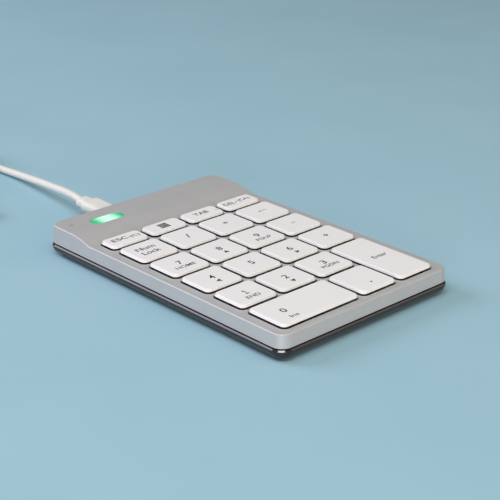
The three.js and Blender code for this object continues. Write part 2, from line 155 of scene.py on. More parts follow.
def moulded(name, colour, roughness, grain_mm, grain_depth_mm, mottle=0.03, mottle_mm=9, **constants):
    """Moulded plastic: a fine spark-eroded grain that its roughness follows, and faint flow mottling."""
    n = Nodes(name)
    grain = n.noise(grain_mm, detail=3)
    flow = n.noise(mottle_mm, detail=4, roughness=0.6)
    tint = n.colours(flow, (0.3, shade(colour, 1 - mottle)), (0.7, shade(colour, 1 + mottle)))
    n.link(tint, n.shader, "Base Color")
    low, high = roughness
    n.link(n.between(grain, low, high), n.shader, "Roughness")
    n.bump(grain, grain_depth_mm)
    for socket, value in constants.items():
        n.shader.inputs[socket.replace("_", " ")].default_value = value
    return n.material


CAP_WHITE = moulded("keycap_white", (0.83, 0.83, 0.835), (0.50, 0.62), 0.16, 0.006, mottle=0.012)
SHELL_SILVER = moulded(
    "shell_silver", (0.55, 0.552, 0.56), (0.50, 0.62), 0.2, 0.012, mottle=0.025, Metallic=0.4
)
TRAY_BLACK = moulded("tray_black", (0.024, 0.021, 0.020), (0.07, 0.13), 0.5, 0.001, mottle=0.15)
LEAD_WHITE = moulded("lead_white", (0.80, 0.785, 0.74), (0.38, 0.52), 0.5, 0.006, mottle=0.02)
# On the scissors, SUPPORT_GREY's dark tone also paints the shade deep in the gaps round the caps (painted
# shade); on the far plug's tongue it is the plastic's own colour. SILICONE's dark tone paints that same
# shade.
SUPPORT_GREY = moulded("support_grey", (0.065, 0.065, 0.07), (0.45, 0.60), 0.3, 0.004)
SILICONE = moulded("silicone", (0.13, 0.135, 0.13), (0.50, 0.70), 0.4, 0.004)
RUBBER = moulded("foot_rubber", (0.016, 0.016, 0.017), (0.70, 0.88), 0.25, 0.02, mottle=0.2, mottle_mm=2)
STRAP = moulded("tie_strap", (0.05, 0.05, 0.055), (0.75, 0.95), 0.35, 0.08, mottle=0.3, mottle_mm=1)
INK = moulded("legend_ink", (0.035, 0.035, 0.04), (0.45, 0.60), 0.12, 0.002, mottle=0.06, mottle_mm=1)
PALE_INK = moulded("pale_ink", (0.45, 0.45, 0.46), (0.45, 0.60), 0.12, 0.002, mottle=0.06, mottle_mm=1)
DARK_LENS = moulded("indicator_dark", (0.02, 0.023, 0.027), (0.10, 0.20), 0.4, 0.001, mottle=0.2)


def brushed_steel():
    """Rolled steel sheet: fine streaks along X."""
    n = Nodes("steel")
    stretch = n.add("ShaderNodeMapping", Scale=(0.05, 1, 1))
    n.link(n.place, stretch, "Vector")
    streaks = n.add("ShaderNodeTexNoise", Scale=1 / (0.12 * MM), Detail=3.0)
    n.link(stretch.outputs["Vector"], streaks, "Vector")
    streak = streaks.outputs["Fac"]
    n.link(n.colours(streak, (0.3, (0.50, 0.51, 0.52)), (0.7, (0.66, 0.67, 0.68))), n.shader, "Base Color")
    n.link(n.between(streak, 0.24, 0.40), n.shader, "Roughness")
    n.bump(streak, 0.002)
    n.shader.inputs["Metallic"].default_value = 1.0
    return n.material


def membrane_film():
    """Dark film with a printed track pattern, seen as broken bands. Its darkness also paints the shade deep
    in the gaps round the caps (painted shade).
    """
    n = Nodes("membrane_film")
    tracks = n.add("ShaderNodeTexWave", Scale=1 / (6 * MM), Distortion=3.0, Detail=2.0)
    n.link(n.place, tracks, "Vector")
    print_colour = n.colours(
        tracks.outputs["Fac"], (0.45, (0.035, 0.042, 0.038)), (0.55, (0.10, 0.105, 0.10))
    )
    n.link(print_colour, n.shader, "Base Color")
    grain = n.noise(0.6)
    n.link(n.between(grain, 0.22, 0.38), n.shader, "Roughness")
    n.bump(grain, 0.003)
    return n.material


def circuit_board():
    """Green solder mask over copper, with lighter tracks."""
    n = Nodes("circuit_board")
    tracks = n.add("ShaderNodeTexVoronoi", Scale=1 / (2.2 * MM))
    tracks.feature = "DISTANCE_TO_EDGE"
    n.link(n.place, tracks, "Vector")
    distance = tracks.outputs["Distance"]
    mask = n.colours(distance, (0.05, (0.05, 0.22, 0.10)), (0.09, (0.015, 0.10, 0.045)))
    n.link(mask, n.shader, "Base Color")
    n.link(n.between(n.noise(0.8), 0.28, 0.42), n.shader, "Roughness")
    n.bump(distance, 0.02)
    return n.material


def lit_window(centre_x, half_width):
    """A diffuser lit from below: nearly white in the middle, green towards its ends. Sizes are in metres."""
    n = Nodes("lit_window")
    split = n.add("ShaderNodeSeparateXYZ")
    n.link(n.place, split, "Vector")
    offset = n.add("ShaderNodeMath")
    offset.operation = "SUBTRACT"
    offset.inputs[1].default_value = centre_x
    n.link(split.outputs["X"], offset, 0)
    away = n.add("ShaderNodeMath")
    away.operation = "ABSOLUTE"
    n.link(offset.outputs[0], away, 0)
    share = n.add("ShaderNodeMath")
    share.operation = "DIVIDE"
    share.inputs[1].default_value = half_width
    n.link(away.outputs[0], share, 0)
    uneven = n.add("ShaderNodeMath")
    uneven.operation = "ADD"
    n.link(share.outputs[0], uneven, 0)
    n.link(n.between(n.noise(3.0), -0.05, 0.05), uneven, 1)
    glow = n.colours(
        uneven.outputs[0],
        (0.0, (0.62, 0.95, 0.80)),
        (0.35, (0.45, 0.90, 0.68)),
        (0.7, (0.06, 0.55, 0.27)),
        (1.0, (0.01, 0.36, 0.13)),
    )
    n.link(glow, n.shader, "Base Color")
    n.link(glow, n.shader, "Emission Color")
    n.shader.inputs["Emission Strength"].default_value = 0.35
    grain = n.noise(0.3)
    n.link(n.between(grain, 0.18, 0.30), n.shader, "Roughness")
    n.bump(grain, 0.002)
    return n.material


STEEL = brushed_steel()
FILM = membrane_film()
BOARD_GREEN = circuit_board()

# ---- Mesh drawing, in millimetres ----

CORNER_STEPS = 10  # segments in a quarter turn of an outline
EDGE_STEPS = 6  # segments in a quarter turn of a rounded edge
LEAST_RADIUS = 0.05  # of an outline's corners, however far it is drawn in
SHARP_DEGREES = 35  # edges that turn further than this stay crisp


class Rect:
    """A rounded rectangle: a piece's outline in plan."""

    def __init__(self, x, y, width, depth, radius):
        self.x, self.y = x, y
        self.width, self.depth, self.radius = width, depth, radius

    def points(self, inset=0.0, steps=CORNER_STEPS):
        """Its points anticlockwise, drawn in by inset all round."""
        radius = max(self.radius - inset, LEAST_RADIUS)
        across = self.width / 2 - inset - radius
        along = self.depth / 2 - inset - radius
        found = []
        for corner, (side_x, side_y) in enumerate([(1, 1), (-1, 1), (-1, -1), (1, -1)]):
            for step in range(steps + 1):
                angle = (corner + step / steps) * math.pi / 2
                x = self.x + side_x * across + radius * math.cos(angle)
                y = self.y + side_y * along + radius * math.sin(angle)
                found.append((x, y))
        return found


def ring(bm, outline, inset, z, steps=CORNER_STEPS):
    return [bm.verts.new((x, y, z)) for x, y in outline.points(inset, steps)]


def bridge(bm, lower, upper):
    """A band of quads between two rings with as many points."""
    for i in range(len(lower)):
        j = (i + 1) % len(lower)
        bm.faces.new((lower[i], lower[j], upper[j], upper[i]))


def loft(bm, outline, profile, steps=CORNER_STEPS, fill_first=True, fill_last=True):
    """Rings of an outline along a profile of (inset, z), bridged in order. Returns the first and last ring.

    A profile that goes up on the outside and in over the top faces outwards.
    """
    rings = [ring(bm, outline, inset, z, steps) for inset, z in profile]
    for lower, upper in zip(rings, rings[1:]):
        bridge(bm, lower, upper)
    if fill_first:
        bm.faces.new(reversed(rings[0]))
    if fill_last:
        bm.faces.new(rings[-1])
    return rings[0], rings[-1]


def arc(inset, z, radius, start, end, steps=EDGE_STEPS):
    """Profile points on an arc about (inset, z). An angle of 0 is outwards and 90 is up, in degrees."""
    found = []
    for step in range(steps + 1):
        angle = math.radians(start + (end - start) * step / steps)
        found.append((inset - radius * math.cos(angle), z + radius * math.sin(angle)))
    return found


def inside(point, corners):
    """Whether a point lies in a closed outline, by counting the edges to its right."""
    x, y = point
    crossed = False
    for (ax, ay), (bx, by) in zip(corners, corners[1:] + corners[:1]):
        if (ay > y) != (by > y) and x < ax + (y - ay) / (by - ay) * (bx - ax):
            crossed = not crossed
    return crossed


def fill_with_holes(bm, outer, holes):
    """Triangles between an outer ring and the rings of its holes, all at one height."""
    verts = [vert for points in (outer, *holes) for vert in points]
    edges = []
    outlines = []
    for points in (outer, *holes):
        start = verts.index(points[0])
        edges += [(start + i, start + (i + 1) % len(points)) for i in range(len(points))]
        outlines.append([(v.co.x, v.co.y) for v in points])
    flat = [v.co.to_2d() for v in verts]
    _, _, faces, sources, _, _ = delaunay_2d_cdt(flat, edges, [], 0, 1e-6)
    for face in faces:
        corners = [verts[sources[i][0]] for i in face]
        middle = sum((v.co.to_2d() for v in corners), Vector((0, 0))) / 3
        if inside(middle, outlines[0]) and not any(inside(middle, hole) for hole in outlines[1:]):
            bm.faces.new(corners)


def finished(bm, name):
    """The mesh in metres, facing out, smooth over its roundings and crisp at its edges."""
    bmesh.ops.recalc_face_normals(bm, faces=bm.faces)
    bm.transform(Matrix.Scale(MM, 4))
    mesh = bpy.data.meshes.new(name)
    bm.to_mesh(mesh)
    bm.free()
    mesh.shade_smooth()
    mesh.set_sharp_from_angle(angle=math.radians(SHARP_DEGREES))
    obj = bpy.data.objects.new(name, mesh)
    bpy.context.scene.collection.objects.link(obj)
    return obj


def settle(obj, material, body=CASE, replaces=()):
    """Gives a piece its material, its flat faces' own shading, and the body it rides on."""
    obj.data.materials.clear()
    obj.data.materials.append(material)
    if obj.type == "MESH":
        flat = obj.modifiers.new("flat_faces", "WEIGHTED_NORMAL")
        flat.keep_sharp = True
    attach(obj, body)
    if replaces:
        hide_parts(*replaces)
    return obj


def cut_away(obj, cutter):
    """Cuts the cutter's shape out of obj's mesh, and removes the cutter."""
    cutting = obj.modifiers.new("cut", "BOOLEAN")
    cutting.operation = "DIFFERENCE"
    cutting.solver = "EXACT"
    cutting.object = cutter
    bpy.context.view_layer.update()
    evaluated = obj.evaluated_get(bpy.context.evaluated_depsgraph_get())
    result = bpy.data.meshes.new_from_object(evaluated)
    obj.modifiers.clear()
    obj.data = result
    bpy.data.objects.remove(cutter)


def lay_to_rear(bm, x, y, z):
    """Turns what was drawn upright so that its top points to the rear, and puts its foot at (x, y, z)."""
    turn = Matrix.Translation((x, y, z)) @ Matrix.Rotation(-math.pi / 2, 4, "X")
    bm.transform(turn)


def box_mm(node):
    """(lowest corner, highest corner, middle) of a CAD node, in millimetres."""
    low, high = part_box(node)
    return low / MM, high / MM, (low + high) / (2 * MM)


def rect_of(node, radius):
    low, high, middle = box_mm(node)
    return Rect(middle.x, middle.y, high.x - low.x, high.y - low.y, radius)


# ---- Lead: the cable and its coil, in metres ----

CABLE_DIAMETER = 0.003
CABLE_ROUTE = [
    (-0.011, 0.0843, 0.0075),
    (-0.0105, 0.0880, 0.00762),
    (-0.00975, 0.0930, 0.00755),
    (-0.00885, 0.0990, 0.0071),
    (-0.00795, 0.1080, 0.00625),
    (-0.00675, 0.1180, 0.0052),
    (-0.00565, 0.1290, 0.004),
    (-0.00485, 0.1400, 0.0029),
    (-0.0046, 0.1500, 0.0021),
    (-0.00445, 0.1580, 0.00172),
    (-0.0044, 0.1660, 0.00155),
    (-0.0044, 0.1695, 0.00152),
]
TAIL_ROUTE = [
    (-0.042, 0.1690, 0.0105),
    (-0.042, 0.1660, 0.0094),
    (-0.042, 0.1625, 0.0070),
    (-0.042, 0.1590, 0.0048),
    (-0.042, 0.1555, 0.00395),
]
COIL_COLUMNS = 4  # turns side by side, in each layer
COIL_TURNS = 15.5
POINTS_PER_TURN = 16
COIL_LIFT = 0.00002  # keeps the lowest turns just off the floor
SHIFT_SHARE = 0.2  # of a turn, in which the cable moves over to its next place


def coil_route():
    """Points round the coil from its outer turn on the desk: layers wound inwards and outwards in turn."""
    low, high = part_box("cable_coil")
    middle = (low + high) / 2
    outer = (high.x - low.x) / 2 - CABLE_DIAMETER / 2

    def place(turn):
        layer, step = divmod(turn, COIL_COLUMNS)
        column = step if layer % 2 == 0 else COIL_COLUMNS - 1 - step
        return outer - column * CABLE_DIAMETER, CABLE_DIAMETER * (layer + 0.5) + COIL_LIFT

    points = []
    for count in range(round(COIL_TURNS * POINTS_PER_TURN) + 1):
        turn, share = divmod(count / POINTS_PER_TURN, 1)
        here = place(int(turn))
        there = place(int(turn) + 1)
        moved = max(0.0, (share - 1 + SHIFT_SHARE) / SHIFT_SHARE)
        moved = moved * moved * (3 - 2 * moved)
        radius = here[0] + (there[0] - here[0]) * moved
        height = here[1] + (there[1] - here[1]) * moved
        angle = 2 * math.pi * share
        points.append((middle.x + radius * math.cos(angle), middle.y + radius * math.sin(angle), height))
    return points


def add_cable():
    curve = bpy.data.curves.new("lead_cable", "CURVE")
    curve.dimensions = "3D"
    curve.bevel_depth = CABLE_DIAMETER / 2
    curve.bevel_resolution = 5
    curve.resolution_u = 6
    curve.use_fill_caps = True
    points = CABLE_ROUTE + coil_route() + TAIL_ROUTE
    spline = curve.splines.new("BEZIER")
    spline.bezier_points.add(len(points) - 1)
    for knot, point in zip(spline.bezier_points, points):
        knot.co = point
        knot.handle_left_type = knot.handle_right_type = "AUTO"
    cable = bpy.data.objects.new("lead_cable", curve)
    bpy.context.scene.collection.objects.link(cable)
    return settle(cable, LEAD_WHITE, replaces=("cable", "cable_coil", "cable_tail"))


# ---- Plugs, drawn upright in millimetres: the tip below z = 0, the grip above ----

PLUG_GAP = 0.6  # between the case and the grip
GRIP_RADIUS = 2.3
GRIP_LENGTH = 14.6
COLLAR = Rect(0, 0, 6.4, 4.0, 1.9)
COLLAR_LENGTH = 5.7
COLLAR_STEP = 0.8  # rounding of the grip's end, where the collar leaves it
COLLAR_END = 1.3  # rounding of the collar's end, where the cable leaves it
PLUG_TIP = Rect(0, 0, 8.25, 2.4, 1.15)
TIP_WALL = 0.3
FAR_GRIP_RADIUS = 2.2
FAR_GRIP_FRONT = 0.8  # rounding of the far grip's front
FAR_GRIP_END = 1.6  # rounding of the far grip's end
FAR_TIP = Rect(0, 0, 12.0, 4.5, 0.5)
FAR_TIP_LENGTH = 12.0
FAR_TONGUE = Rect(0, -1.0, 11.0, 1.7, 0.2)
RIBS = 6
RIBS_START = 9.0
RIB_PITCH = 1.7
RIB_DEPTH = 0.28
RELIEF = Rect(0, 0, 5.6, 5.6, 2.79)
RELIEF_LENGTH = 8.0
RELIEF_STEPS = 4
RELIEF_PITCH = 1.8
RELIEF_TAPER = 0.28  # for each step


def add_plug():
    """The moulded plug on the keypad's end of the lead: a flat grip, a step, and a short collar."""
    low, high, middle = box_mm("usb_c_plug")
    grip_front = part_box("top_shell")[1].y / MM + PLUG_GAP
    grip = Rect(0, 0, high.x - low.x, high.z - low.z, GRIP_RADIUS)
    bm = bmesh.new()
    profile = [(0.9, 0.0), (0.55, 0.12), (0.35, 0.5), (0.15, 4.0), (0.0, 9.0)]
    profile += arc(COLLAR_STEP, GRIP_LENGTH - COLLAR_STEP, COLLAR_STEP, 0, 85)
    loft(bm, grip, profile)
    end = GRIP_LENGTH + COLLAR_LENGTH
    profile = [
        (0.0, GRIP_LENGTH - 1.0),
        (0.0, GRIP_LENGTH + 2.6),
        *arc(COLLAR_END, end - COLLAR_END, COLLAR_END, 20, 85),
    ]
    loft(bm, COLLAR, profile)
    lay_to_rear(bm, middle.x, grip_front, middle.z)
    plug = settle(finished(bm, "plug_grip"), LEAD_WHITE, replaces=("usb_c_plug",))

    bm = bmesh.new()
    mouth = low.y - grip_front
    profile = [
        (TIP_WALL, -0.2),
        (TIP_WALL, mouth + 0.1),
        (TIP_WALL - 0.1, mouth),
        (0.1, mouth),
        (0.0, mouth + 0.1),
        (0.0, 0.6),
        (TIP_WALL, 0.7),
    ]
    loft(bm, PLUG_TIP, profile)
    lay_to_rear(bm, middle.x, grip_front, middle.z)
    tip = settle(finished(bm, "plug_tip"), STEEL)
    return [plug, tip]


def add_far_plug():
    """The USB plug at the lead's far end: a ribbed grip, a tapered relief, and an open metal shell."""
    low, high, middle = box_mm("usb_a_plug")
    grip_length = high.y - low.y - RELIEF_LENGTH - FAR_TIP_LENGTH
    grip_front = low.y + FAR_TIP_LENGTH
    grip = Rect(0, 0, high.x - low.x, high.z - low.z, FAR_GRIP_RADIUS)
    bm = bmesh.new()
    ribs = []
    for count in range(RIBS):
        start = RIBS_START + count * RIB_PITCH
        ribs += [(0.0, start), (RIB_DEPTH, start + 0.25), (RIB_DEPTH, start + 0.6), (0.0, start + 0.85)]
    front = arc(FAR_GRIP_FRONT, FAR_GRIP_FRONT, FAR_GRIP_FRONT, -85, 0)
    rear = arc(FAR_GRIP_END, grip_length - FAR_GRIP_END, FAR_GRIP_END, 0, 80)
    loft(bm, grip, front + ribs + rear)
    steps = []
    for count in range(RELIEF_STEPS):
        start = grip_length + 0.6 + count * RELIEF_PITCH
        inset = count * RELIEF_TAPER
        steps += [(inset, start), (inset + 0.1, start + 0.9)]
        steps += [(inset + 0.45, start + 1.0), (inset + 0.5, start + 1.6)]
    end = grip_length + RELIEF_LENGTH + 0.7
    loft(bm, RELIEF, [(0.0, grip_length - 1.0), *steps, (1.25, end - 0.3), (1.4, end)])
    lay_to_rear(bm, middle.x, grip_front, middle.z)
    plug = settle(finished(bm, "far_plug_grip"), LEAD_WHITE, replaces=("usb_a_plug",))

    bm = bmesh.new()
    mouth = -FAR_TIP_LENGTH
    loft(bm, FAR_TIP, [(TIP_WALL, -0.5), (TIP_WALL, mouth), (0, mouth), (0, 0.5), (TIP_WALL, 0.6)])
    lay_to_rear(bm, middle.x, grip_front, middle.z)
    tip = settle(finished(bm, "far_plug_shell"), STEEL)

    bm = bmesh.new()
    loft(bm, FAR_TONGUE, [(0.1, mouth + 0.4), (0.0, mouth + 0.5), (0.0, -0.6), (0.1, -0.5)])
    lay_to_rear(bm, middle.x, grip_front, middle.z)
    tongue = settle(finished(bm, "far_plug_tongue"), SUPPORT_GREY)
    return [plug, tip, tongue]


# ---- Strap round the coil, in millimetres ----

STRAP_WIDTH = 7.0
STRAP_THICK = 0.3
STRAP_SLACK = 0.3  # on both sides, because the turns are curved and the strap is straight


def add_tie():
    """A strap round the coil's bundle of turns, at the side away from the keypad."""
    _, high, middle = box_mm("cable_coil")
    bundle = COIL_COLUMNS * CABLE_DIAMETER / MM
    centre_y = high.y - bundle / 2
    outside = Rect(0, 0, bundle + 2 * (STRAP_THICK + STRAP_SLACK), bundle + STRAP_THICK, 2.0)
    bm = bmesh.new()
    half = STRAP_WIDTH / 2
    rings = [
        ring(bm, outside, STRAP_THICK, half - 0.1),
        ring(bm, outside, STRAP_THICK, 0.1 - half),
        ring(bm, outside, 0.1, -half),
        ring(bm, outside, 0.0, 0.1 - half),
        ring(bm, outside, 0.0, half - 0.1),
        ring(bm, outside, 0.1, half),
    ]
    for lower, upper in zip(rings, rings[1:] + rings[:1]):
        bridge(bm, lower, upper)
    flap = Rect(outside.width / 2 + 0.15, 1.5, 0.5, 5.0, 0.2)
    loft(bm, flap, [(0.1, -half + 0.4), (0.0, -half + 0.5), (0.0, half - 0.5), (0.1, half - 0.4)], steps=4)
    # the strap's own (across, up, along) become (Y, Z, X)
    along = (0, 0, 1, middle.x)
    across = (1, 0, 0, centre_y)
    up = (0, 1, 0, outside.depth / 2 + COIL_LIFT / MM)
    bm.transform(Matrix((along, across, up, (0, 0, 0, 1))))
    return settle(finished(bm, "coil_tie"), STRAP)


cable = add_cable()
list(add_plug())
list(add_far_plug())
add_tie()

# ---- Key caps ----

CAP_RADIUS = 1.9
CAP_WALL = 1.0
CAP_ROOF = 0.8
CAP_EDGE = 0.4  # rounding between a cap's side and its top
CAP_DRAFT = 0.25  # how far the sides lean in
CAP_RIM = 0.2  # chamfer of the lower rim
KEY_NAMES = [body.removeprefix("key_") for body in frame["bodies"] if body.startswith("key_")]


def add_cap(key):
    low, high, _ = box_mm("cap_" + key)
    outline = rect_of("cap_" + key, CAP_RADIUS)
    ceiling = high.z - CAP_ROOF
    profile = [
        (CAP_WALL + 0.15, ceiling),
        (CAP_WALL, ceiling - 0.1),
        (CAP_WALL - 0.1, low.z),
        (CAP_RIM, low.z),
        (0.0, low.z + 0.16),
        *arc(CAP_DRAFT + CAP_EDGE, high.z - CAP_EDGE, CAP_EDGE, 14, 90),
    ]
    bm = bmesh.new()
    loft(bm, outline, profile)
    cap = finished(bm, "keycap_" + key)
    settle(cap, CAP_WHITE, "key_" + key, replaces=("cap_" + key,))


for key in KEY_NAMES:
    add_cap(key)

# ---- Legends printed on the caps ----

INK_RISE = 0.012  # how far the print stands above the cap's top
INK_DEPTH = 0.03

# Each key's marks: (words, centre from the cap's left edge, centre from its front edge, width, height)
LEGENDS = {
    "escape": [("ESC", 6.45, 4.8, 7.3, 2.4), ("(C)", 12.8, 4.0, 4.2, 2.4)],
    "tab": [("TAB", 8.0, 4.4, 6.8, 2.4)],
    "delete": [("DEL", 4.0, 4.4, 5.6, 2.3), ("-", 7.6, 4.4, 1.0, 0.35), ("(CA)", 11.5, 4.4, 5.6, 2.5)],
    "num_lock": [("Num", 7.9, 9.2, 8.3, 2.6), ("Lock", 7.6, 5.1, 7.8, 2.6)],
    "divide": [("/", 8.1, 7.4, 1.7, 3.4)],
    "multiply": [("*", 8.2, 7.7, 2.0, 2.0)],
    "minus": [("-", 8.5, 7.65, 2.3, 0.35)],
    "plus": [("+", 8.5, 7.65, 2.3, 2.3)],
    "7": [("7", 8.5, 7.7, 2.0, 3.0), ("HOME", 8.3, 4.0, 8.7, 1.9)],
    "8": [("8", 8.5, 7.7, 2.15, 3.0)],
    "9": [("9", 8.5, 7.7, 2.15, 3.0), ("PGUP", 8.6, 4.05, 7.1, 1.9)],
    "4": [("4", 8.5, 7.7, 2.15, 3.0)],
    "5": [("5", 8.5, 7.7, 2.0, 3.0)],
    "6": [("6", 8.5, 7.7, 2.15, 3.0)],
    "1": [("END", 8.6, 3.8, 6.0, 1.9)],
    "2": [("2", 8.5, 7.7, 2.0, 3.0)],
    "3": [("3", 8.5, 7.7, 2.0, 3.0), ("PGDN", 8.6, 4.35, 7.9, 1.9)],
    "enter": [("Enter", 8.7, 18.1, 6.9, 2.2)],
    "0": [("0", 7.85, 8.4, 2.15, 3.0), ("Ins", 8.05, 3.4, 3.7, 1.8)],
    "dot": [(".", 8.55, 4.5, 0.9, 0.9)],
}
# Solid triangles under four digits: the way each points, as an angle from +X in degrees
ARROWS = {"8": 90, "2": 270, "4": 180, "6": 0}
ARROW_CENTRE = (8.6, 3.8)
ARROW_RADIUS = 1.3
DIGIT_CENTRE = (8.5, 7.7)
STROKE_SWELL = 0.012  # thickens the letters' strokes, as a share of their size
CALCULATOR_SIDE = 4.2
CALCULATOR_KEYS = 4  # along each side
CALCULATOR_GAP = 0.14


def text_faces(bm, words, x, y, width, height):
    """Adds the words to bm as flat faces, centred on (x, y) and as wide and high as given."""
    data = bpy.data.curves.new("words", "FONT")
    data.body = words
    data.resolution_u = 6
    data.offset = STROKE_SWELL
    source = bpy.data.objects.new("words", data)
    bpy.context.scene.collection.objects.link(source)
    bpy.context.view_layer.update()
    flat = bpy.data.meshes.new_from_object(source.evaluated_get(bpy.context.evaluated_depsgraph_get()))
    bpy.data.objects.remove(source)
    across = [v.co.x for v in flat.vertices]
    up = [v.co.y for v in flat.vertices]
    size = Vector((max(across) - min(across), max(up) - min(up)))
    middle = Vector(((max(across) + min(across)) / 2, (max(up) + min(up)) / 2, 0))
    fit = Matrix.Diagonal((width / size.x, height / size.y, 1, 1))
    flat.transform(Matrix.Translation((x, y, 0)) @ fit @ Matrix.Translation(-middle))
    bm.from_mesh(flat)
    bpy.data.meshes.remove(flat)


def polygon(bm, points):
    bm.faces.new([bm.verts.new((x, y, 0)) for x, y in points])


def rectangle(bm, x, y, width, height):
    right, left = x + width / 2, x - width / 2
    top, bottom = y + height / 2, y - height / 2
    polygon(bm, [(left, bottom), (right, bottom), (right, top), (left, top)])


def triangle(bm, x, y, pointing):
    turns = [math.radians(pointing + corner * 120) for corner in range(3)]
    polygon(bm, [(x + ARROW_RADIUS * math.cos(t), y + ARROW_RADIUS * math.sin(t)) for t in turns])


def back_arrow(bm, x, y, length):
    """A thin arrow that points to the left."""
    head = 0.9
    rectangle(bm, x + head / 2, y, length - head, 0.28)
    left = x - length / 2
    polygon(bm, [(left, y), (left + head, y - head * 0.6), (left + head, y + head * 0.6)])


def tab_arrow(bm, x, y):
    """A small arrow that points to the right at a bar."""
    rectangle(bm, x, y, 1.4, 0.25)
    polygon(bm, [(x + 0.6, y - 0.5), (x + 1.4, y), (x + 0.6, y + 0.5)])
    rectangle(bm, x + 1.6, y, 0.2, 1.2)


def digit_one(bm, x, y):
    """The figure 1 as a stem with a flag at its top and a bar for its foot."""
    height = 3.0
    stroke = 0.38
    top = y + height / 2
    rectangle(bm, x, y + stroke / 2, stroke, height - stroke)
    rectangle(bm, x, y - height / 2 + stroke / 2, 1.7, stroke)
    left = x - stroke / 2
    polygon(bm, [(left, top), (left - 0.62, top - 0.62), (left - 0.62, top - 1.05), (left, top - 0.5)])


def calculator(bm, x, y):
    """A pocket calculator's face: a square block of small keys."""
    pitch = CALCULATOR_SIDE / CALCULATOR_KEYS
    key_side = pitch - CALCULATOR_GAP
    for row in range(CALCULATOR_KEYS):
        for column in range(CALCULATOR_KEYS):
            key_x = x + (column - (CALCULATOR_KEYS - 1) / 2) * pitch
            key_y = y + (row - (CALCULATOR_KEYS - 1) / 2) * pitch
            rectangle(bm, key_x, key_y, key_side, key_side)


def add_print(name, key, bm, material=None):
    """Turns flat faces into a thin layer of ink on the cap, placed from its front left corner."""
    low, high, _ = box_mm("cap_" + key)
    bmesh.ops.remove_doubles(bm, verts=bm.verts, dist=1e-4)
    bmesh.ops.recalc_face_normals(bm, faces=bm.faces)
    down = bmesh.ops.extrude_face_region(bm, geom=list(bm.faces))["geom"]
    moved = [v for v in down if isinstance(v, bmesh.types.BMVert)]
    bmesh.ops.translate(bm, verts=moved, vec=(0, 0, -INK_DEPTH))
    bmesh.ops.translate(bm, verts=bm.verts, vec=(low.x, low.y, high.z + INK_RISE))
    return settle(finished(bm, name), material or INK, "key_" + key)


def add_legends():
    for key, marks in LEGENDS.items():
        bm = bmesh.new()
        for mark in marks:
            text_faces(bm, *mark)
        if key in ARROWS:
            triangle(bm, *ARROW_CENTRE, ARROWS[key])
        if key == "1":
            digit_one(bm, *DIGIT_CENTRE)
        add_print("legend_" + key, key, bm)
    bm = bmesh.new()
    back_arrow(bm, 8.5, 7.6, 4.0)
    add_print("legend_backspace", "backspace", bm)
    bm = bmesh.new()
    calculator(bm, 8.1, 4.2)
    add_print("legend_calculator", "calculator", bm)
    bm = bmesh.new()
    tab_arrow(bm, 14.6, 3.2)
    add_print("legend_tab_arrow", "tab", bm, PALE_INK)


add_legends()

# ---- Top shell ----

CASE_RADIUS = 4.5
WALL_DRAFT = 0.35  # how far the walls lean in, from the parting line to the top
SHELL_EDGE = 0.5  # rounding between wall and top
SHELL_WALL = 1.6
SHELL_ROOF = 1.4
HOLE_CLEARANCE = 0.45
HOLE_EDGE = 0.06  # chamfer round a hole
HOLE_STEPS = 6  # segments in a quarter turn of a hole's outline
WINDOW_RADIUS = 2.9
WINDOW_CLEARANCE = 0.12
LENS_RADIUS = 0.15
LENS_CLEARANCE = 0.08
PORT_CLEARANCE = 0.3
PORT_RADIUS = 2.1
PLATE_TOP = 10.0
HUMP_RISE = 1.95
SHELL_SHARP_DEGREES = 16  # less than the crease at the ramp's foot, which stays crisp
RAMP_SETBACK = 1.8  # from the rear row of caps to the foot of the ramp
RAMP_LENGTH = 10.0
RAMP_REACH = 5.5  # from the ramp's foot to the control point of its curve
RAMP_STEPS = 10
RAMP_FOOT = box_mm("cap_escape")[1].y + RAMP_SETBACK


def lift(y):
    """How far the top stands above the key plate's level at y: a ramp, sharp at its foot, round above."""
    along = min(max(y - RAMP_FOOT, 0.0), RAMP_LENGTH)
    # y = foot + 2 t (1 - t) reach + t^2 length, solved for t
    bend = RAMP_LENGTH - 2 * RAMP_REACH
    t = (-RAMP_REACH + math.sqrt(RAMP_REACH**2 + bend * along)) / bend
    return HUMP_RISE * (2 * t - t * t)


def ramp_lines():
    for step in range(RAMP_STEPS + 1):
        t = step / RAMP_STEPS
        yield RAMP_FOOT + 2 * t * (1 - t) * RAMP_REACH + t * t * RAMP_LENGTH


